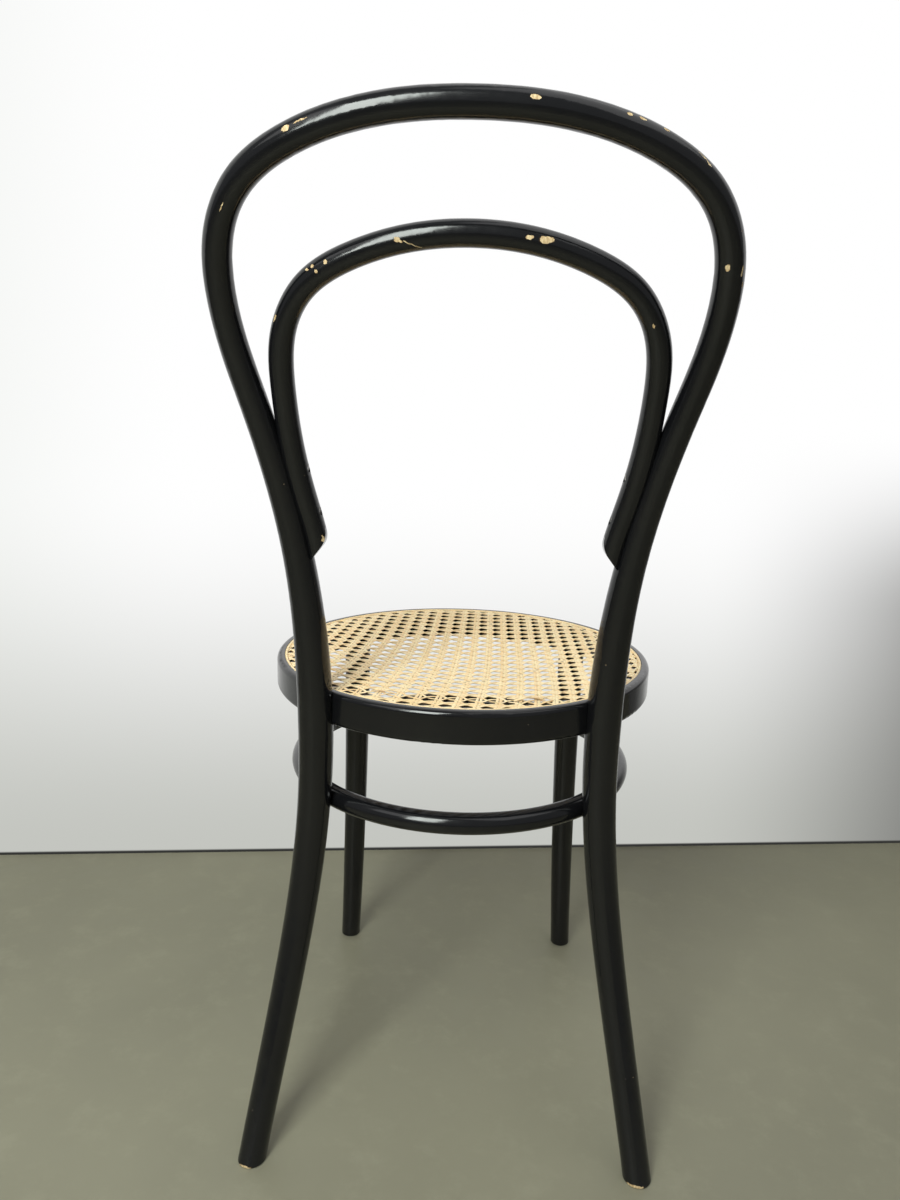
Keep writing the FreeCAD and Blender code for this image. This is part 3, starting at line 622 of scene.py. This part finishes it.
def backdrop_colour(tree):
    """The wall's colour where it is seen directly or in a reflection, with painted shade on it."""
    place = node(tree, "ShaderNodeSeparateXYZ", {0: object_place(tree)}).outputs
    # Painted shade: a dimmer, greener white towards the left
    left = ramp(tree, place["X"], low=0.40, high=0.85)
    upper = blend_colours(tree, left, BACKDROP_WHITE, BACKDROP_LEFT_SHADE)
    # Painted shade: dimmer towards the floor
    height = ramp(tree, place["Z"], low=0.0, high=0.60)
    shade = blend_colours(tree, height, BACKDROP_LOW_SHADE, upper)
    # Painted shade: dark in the lower right corner
    right = ramp(tree, place["X"], low=-0.36, high=-0.95)
    low = ramp(tree, place["Z"], low=0.70, high=0.40)
    corner = math_node(tree, "MULTIPLY", right, low)
    shade = blend_colours(tree, corner, shade, BACKDROP_CORNER_SHADE)
    # Painted shadow: a thin dark line along the wall's foot
    foot_shadow = ramp(tree, place["Z"], low=0.0065, high=0.0030)
    return blend_colours(tree, foot_shadow, shade, FOOT_SHADOW_LINE)


def wall_paint():
    """Matt white paint for the light that it returns, and a backdrop with painted shade where it is
    seen.
    """
    material, tree, shader = blank_material("white_wall")
    shader.inputs["Base Color"].default_value = WALL_WHITE
    shader.inputs["Roughness"].default_value = 0.8
    glow = node(tree, "ShaderNodeEmission", {"Color": backdrop_colour(tree), "Strength": 1.0})
    ray = node(tree, "ShaderNodeLightPath").outputs
    seen = math_node(tree, "MAXIMUM", ray["Is Camera Ray"], ray["Is Glossy Ray"])
    seen = math_node(tree, "MAXIMUM", seen, ray["Is Transmission Ray"])
    show_front_only(tree, blend_shaders(tree, seen, shader.outputs[0], glow.outputs[0]))
    return material


def flat_sheet(name, placing, material):
    """A square of 2 m by 2 m, moved, turned and stretched by the matrix that it is given."""
    shape = bmesh.new()
    bmesh.ops.create_grid(shape, x_segments=1, y_segments=1, size=1.0, matrix=placing)
    mesh = bpy.data.meshes.new(name)
    shape.to_mesh(mesh)
    shape.free()
    sheet = bpy.data.objects.new(name, mesh)
    bpy.context.scene.collection.objects.link(sheet)
    put_material(sheet, material)


def room():
    """The floor reaches 8 m behind the chair, and the wall is 12 m wide and 4 m high."""
    spread = Matrix.Translation((0, 3, 0)) @ Matrix.Diagonal((6, 5, 1, 1))
    flat_sheet("floor", spread, floor_paint())
    upright = Matrix.Rotation(WALL_TURN, 4, "Z") @ Matrix.Rotation(-math.pi / 2, 4, "X")
    lifted = Matrix.Translation(WALL_MIDDLE) @ Matrix.Translation((0, 0, 2))
    flat_sheet("wall", lifted @ upright @ Matrix.Diagonal((6, 2, 1, 1)), wall_paint())


# Light: each lamp's name, place, aim, width and height, watts, and colour

WORLD_COLOUR = (0.96, 0.98, 1.0, 1)
WORLD_STRENGTH = 0.24
LAMPS = (
    ("window", (1.7, 1.6, 2.5), (0, 0, 0.5), (1.3, 1.3), 6, (1, 1, 1)),
    ("ceiling", (-1.0, 0.5, 2.9), (0, -0.1, 0.5), (2.0, 2.0), 12, (1, 1, 1)),
    ("lamp_over_the_back", (0.56, 1.42, 1.54), (0, 0.25, 0.88), (0.60, 1.20), 34,
     (0.94, 1.0, 0.95)),
)


def soft_light(name, place, aim, size, power, colour):
    lamp = bpy.data.lights.new(name, "AREA")
    lamp.shape = "RECTANGLE"
    lamp.size, lamp.size_y = size
    lamp.energy = power
    lamp.color = colour
    holder = bpy.data.objects.new(name, lamp)
    holder.location = place
    holder.rotation_euler = (Vector(aim) - Vector(place)).to_track_quat("-Z", "Y").to_euler()
    bpy.context.scene.collection.objects.link(holder)


def lights():
    world = bpy.data.worlds.new("studio")
    bpy.context.scene.world = world
    world.use_nodes = True
    background = world.node_tree.nodes["Background"]
    background.inputs["Color"].default_value = WORLD_COLOUR
    background.inputs["Strength"].default_value = WORLD_STRENGTH
    for lamp in LAMPS:
        soft_light(*lamp)


# Camera at the photograph's place: behind the chair, above the seat, looking slightly down.
# Its angles are in radians, and its lens and sensor in mm.

CAMERA_PLACE = (-0.01122, 0.93079, 0.74258)
CAMERA_TURN = 0.0274
CAMERA_DOWN = 0.2253
CAMERA_ROLL = 0.0291
LENS = 27.87
SENSOR_HEIGHT = 36


def camera():
    forward = Vector((math.sin(CAMERA_TURN) * math.cos(CAMERA_DOWN),
                      -math.cos(CAMERA_TURN) * math.cos(CAMERA_DOWN),
                      -math.sin(CAMERA_DOWN)))
    level = forward.cross(Vector((0, 0, 1))).normalized()
    upright = level.cross(forward)
    right = level * math.cos(CAMERA_ROLL) + upright * math.sin(CAMERA_ROLL)
    up = upright * math.cos(CAMERA_ROLL) - level * math.sin(CAMERA_ROLL)
    data = bpy.data.cameras.new("camera")
    data.sensor_fit = "VERTICAL"
    data.sensor_height = SENSOR_HEIGHT
    data.lens = LENS
    eye = bpy.data.objects.new("camera", data)
    turned = Matrix((right, up, -forward)).transposed().to_4x4()
    eye.matrix_world = Matrix.Translation(CAMERA_PLACE) @ turned
    bpy.context.scene.collection.objects.link(eye)
    bpy.context.scene.camera = eye


lacquer = black_lacquer()
metal = steel()
for name in LACQUERED:
    put_material(nodes[name], lacquer)
for name in FASTENERS:
    put_material(nodes[name], metal)
put_material(nodes["cane_spline"], cane("reed", UNSTRETCHED, woven=False))
woven_seat()
room()
lights()
camera()

bpy.context.scene.view_settings.view_transform = "Standard"
